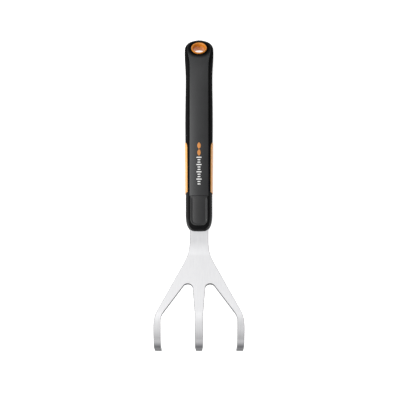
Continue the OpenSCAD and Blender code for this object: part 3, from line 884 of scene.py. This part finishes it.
gloss_orange = material("orange_plastic", (0.58, 0.18, 0.008), (0.68, 0.24, 0.015), (0.22, 0.32),
                        fine=1500, bump=0.06, bump_mm=0.02, specular=0.5, coat=0.25)
black = material("satin_black_plastic", (0.006, 0.006, 0.0063), (0.011, 0.011, 0.0115), (0.36, 0.48),
                 fine=2600, bump=0.15, bump_mm=0.025, specular=0.015)
cap_black = material("satin_cap_plastic", (0.012, 0.012, 0.0128), (0.021, 0.021, 0.022), (0.30, 0.42),
                     fine=2600, bump=0.15, bump_mm=0.025, specular=0.5)
nylon = material("glass_filled_nylon", (0.02, 0.02, 0.021), (0.035, 0.035, 0.037), (0.5, 0.65),
                 fine=1500, bump=0.3)
rivet = material("rivet_steel", (0.55, 0.56, 0.58), (0.68, 0.69, 0.71), (0.3, 0.45), metallic=1.0,
                 fine=1500)
white_ink = material("white_ink", (0.75, 0.75, 0.74), (0.90, 0.90, 0.88), (0.4, 0.55), fine=3500,
                     bump=0.1)
orange_ink = material("orange_ink", (0.55, 0.20, 0.04), (0.70, 0.28, 0.06), (0.4, 0.55), fine=3500,
                      bump=0.1)


def dress(obj, mat, slot, *nodes):
    """Gives a piece its material and body, and hides the CAD nodes it stands for. slot is not used."""
    obj.data.materials.append(mat)
    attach(obj, "root")
    if nodes:
        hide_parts(*nodes)
    return obj


# ---- The pieces ----

claw, claw_normals = bent_plate("claw_plate", claw_outline(), plate_t, edge_r, ground=True)
place(claw)
if "sharp_edge" in claw.data.attributes:
    claw.data.attributes.remove(claw.data.attributes["sharp_edge"])
claw.data.normals_split_custom_set(claw_normals.tolist())
dress(claw, steel, "stainless_plate", "claw_head")
# Slot 1 is for the cut edges, whose dark colour is painted shade.
claw.data.materials.append(cut_steel_painted_shade)

hole_tool = solid("hole_tool", [hole_cutter()])
slot_gap, slot_behind, slot_ahead = 0.22, 20, 45
slot_half = [(neck_s - slot_behind, tang_half + slot_gap), (neck_s - slot_gap, tang_half + slot_gap),
             (neck_s - slot_gap, neck_half + slot_gap), (neck_s + slot_ahead, neck_half + slot_gap)]
slot_tool, _ = bent_plate("slot_tool", np.array(slot_half + [(s, -y) for s, y in reversed(slot_half)]),
                          plate_t + 2 * slot_gap, 0)

grip = grip_solid()
cut(grip, hole_tool)
dress(place(grip), rubber, "soft_grip_rubber", "soft_grip")

spine = solid("spine_panel", [pad(spine_outline(fit / 2), hole_x, seam_x - spine_w / 2, spine_w / 2,
                                  top_face, under_top(spine_t))])
cut(spine, hole_tool)
dress(place(spine), charcoal, "satin_spine", "grip_spine")

for hand, side in (("left", 1), ("right", -1)):
    inlay = place(solid(f"inlay_strip_{hand}", [inlay_rings(side)]))
    dress(inlay, orange, "bright_inlay", f"side_inlay_{hand}")

collar = collar_solid()
cut(collar, slot_tool)
dress(place(collar), black, "collar_plastic", "front_collar")
dress(place(solid("cap_insert", [cap_rings()])), cap_black, "cap_plastic", "collar_cap")
eyelet = place(solid("eyelet_ring", [revolved(eyelet_profile())]))
dress(eyelet, gloss_orange, "eyelet_plastic", "hang_eyelet")

bars = [mark(x, x + 1.1, 2.6 if i % 3 == 0 else 1.5) for i, x in enumerate(np.arange(133, 162, 2.5))]
dress(place(solid("marks_white", bars)), white_ink, "satin_spine")
dress(place(solid("marks_orange", [mark(118, 124.6, 1.7, leaf=True), mark(125.2, 131.8, 1.7, leaf=True)])),
      orange_ink, "satin_spine")

for tool in (hole_tool, slot_tool):
    bpy.data.objects.remove(tool)

# Inside the handle: these keep the meshes of the CAD
for name, mat, slot in (("handle_core", nylon, "core_nylon"), ("tang_rivets", rivet, "rivet_steel")):
    hidden = frame["nodes"][name]
    hidden.data.materials.clear()
    hidden.data.materials.append(mat)

# ---- Floor, light and camera ----

low, high = (Vector(corner) for corner in cad_bounds)
floor_mesh = bpy.data.meshes.new("floor")
floor_half = 4
floor_mesh.from_pydata([(-floor_half, -floor_half, 0), (floor_half, -floor_half, 0),
                        (floor_half, floor_half, 0), (-floor_half, floor_half, 0)], [], [(0, 1, 2, 3)])
floor_plane = new_object("floor", floor_mesh)
floor_plane.location.z = low.z - 0.0004
pale = material("pale_floor", (0.60, 0.60, 0.60), (0.62, 0.62, 0.62), (0.75, 0.85), blotch=3, fine=90,
                bump=0.02, specular=0.1)
floor_plane.data.materials.append(pale)
floor_shader = pale.node_tree.nodes["Principled BSDF"]
floor_shader.inputs["Emission Color"].default_value = (1, 1, 1, 1)
floor_shader.inputs["Emission Strength"].default_value = 0.82

world = bpy.data.worlds.new("studio")
bpy.context.scene.world = world
world.use_nodes = True
background = world.node_tree.nodes["Background"]
background.inputs["Color"].default_value = (1, 1, 1, 1)
sky = world.node_tree


def sky_node(kind, **values):
    n = sky.nodes.new(kind)
    for key, value in values.items():
        setattr(n, key, value)
    return n


def sky_share(value, low, high, start, stop):
    """start to stop as a value of the sky's direction runs from low to high."""
    share = sky_node("ShaderNodeMapRange", interpolation_type="SMOOTHSTEP")
    for key, number in (("From Min", low), ("From Max", high), ("To Min", start), ("To Max", stop)):
        share.inputs[key].default_value = number
    sky.links.new(value, share.inputs["Value"])
    return share.outputs["Result"]


def sky_sum(a, b, factor):
    """a + b * factor"""
    total = sky_node("ShaderNodeMath", operation="MULTIPLY_ADD")
    sky.links.new(b, total.inputs[0])
    total.inputs[1].default_value = factor
    sky.links.new(a, total.inputs[2])
    return total.outputs[0]


# The studio is brighter behind the butt and on one side, and dark near the floor except in front
sky_split = sky_node("ShaderNodeSeparateXYZ")
sky.links.new(sky_node("ShaderNodeTexCoord").outputs["Generated"], sky_split.inputs[0])
sky_x, sky_y, sky_z = sky_split.outputs
sky_level = sky_sum(sky_share(sky_x, -0.95, 0.0, 1.14, 0.74), sky_y, -0.8)
sky_floor = sky_node("ShaderNodeMath", operation="MAXIMUM")
sky.links.new(sky_level, sky_floor.inputs[0])
sky_floor.inputs[1].default_value = 0.15
sky_rise = sky_share(sky_sum(sky_z, sky_x, 0.35), 0.04, 0.24, 0.25, 1.0)
sky_strength = sky_node("ShaderNodeMath", operation="MULTIPLY")
sky.links.new(sky_floor.outputs[0], sky_strength.inputs[0])
sky.links.new(sky_rise, sky_strength.inputs[1])
sky.links.new(sky_strength.outputs[0], background.inputs["Strength"])


def area_light(name, direction, away, size, power):
    """Soft square light that faces the tool from a direction."""
    data = bpy.data.lights.new(name, "AREA")
    data.shape, data.size, data.energy = "SQUARE", size, power
    light = bpy.data.objects.new(name, data)
    bpy.context.scene.collection.objects.link(light)
    way = Vector(direction).normalized()
    target = Vector((0, 0, (low.z + high.z) / 2))
    light.location = target + way * away
    light.rotation_euler = way.to_track_quat("Z", "Y").to_euler()


area_light("key", (-0.1, -0.62, 0.78), 1.7, 1.0, 12)
area_light("fill", (0.3, 0.7, 0.7), 1.9, 1.6, 1.5)

bpy.context.scene.view_settings.view_transform = "Standard"

view_tilt = radians(15)
view_distance = 1300
aim = np.array([174.2, 1.0, 0.0])
toward = np.array([sin(view_tilt), 0, cos(view_tilt)])
upward = np.array([-cos(view_tilt), 0, sin(view_tilt)])
toward_row, upward_row = turn_to_row(np.array([toward, upward]))
camera_data = bpy.data.cameras.new("camera")
camera_data.sensor_width = 36
camera_data.lens = 117.3
camera = bpy.data.objects.new("camera", camera_data)
bpy.context.scene.collection.objects.link(camera)
eye = to_row([aim + toward * view_distance])[0]
right_row = np.cross(upward_row, toward_row)
camera.matrix_world = Matrix.Translation(Vector(eye)) @ Matrix(
    np.stack([right_row, upward_row, toward_row], 1).tolist()).to_4x4()
bpy.context.scene.camera = camera
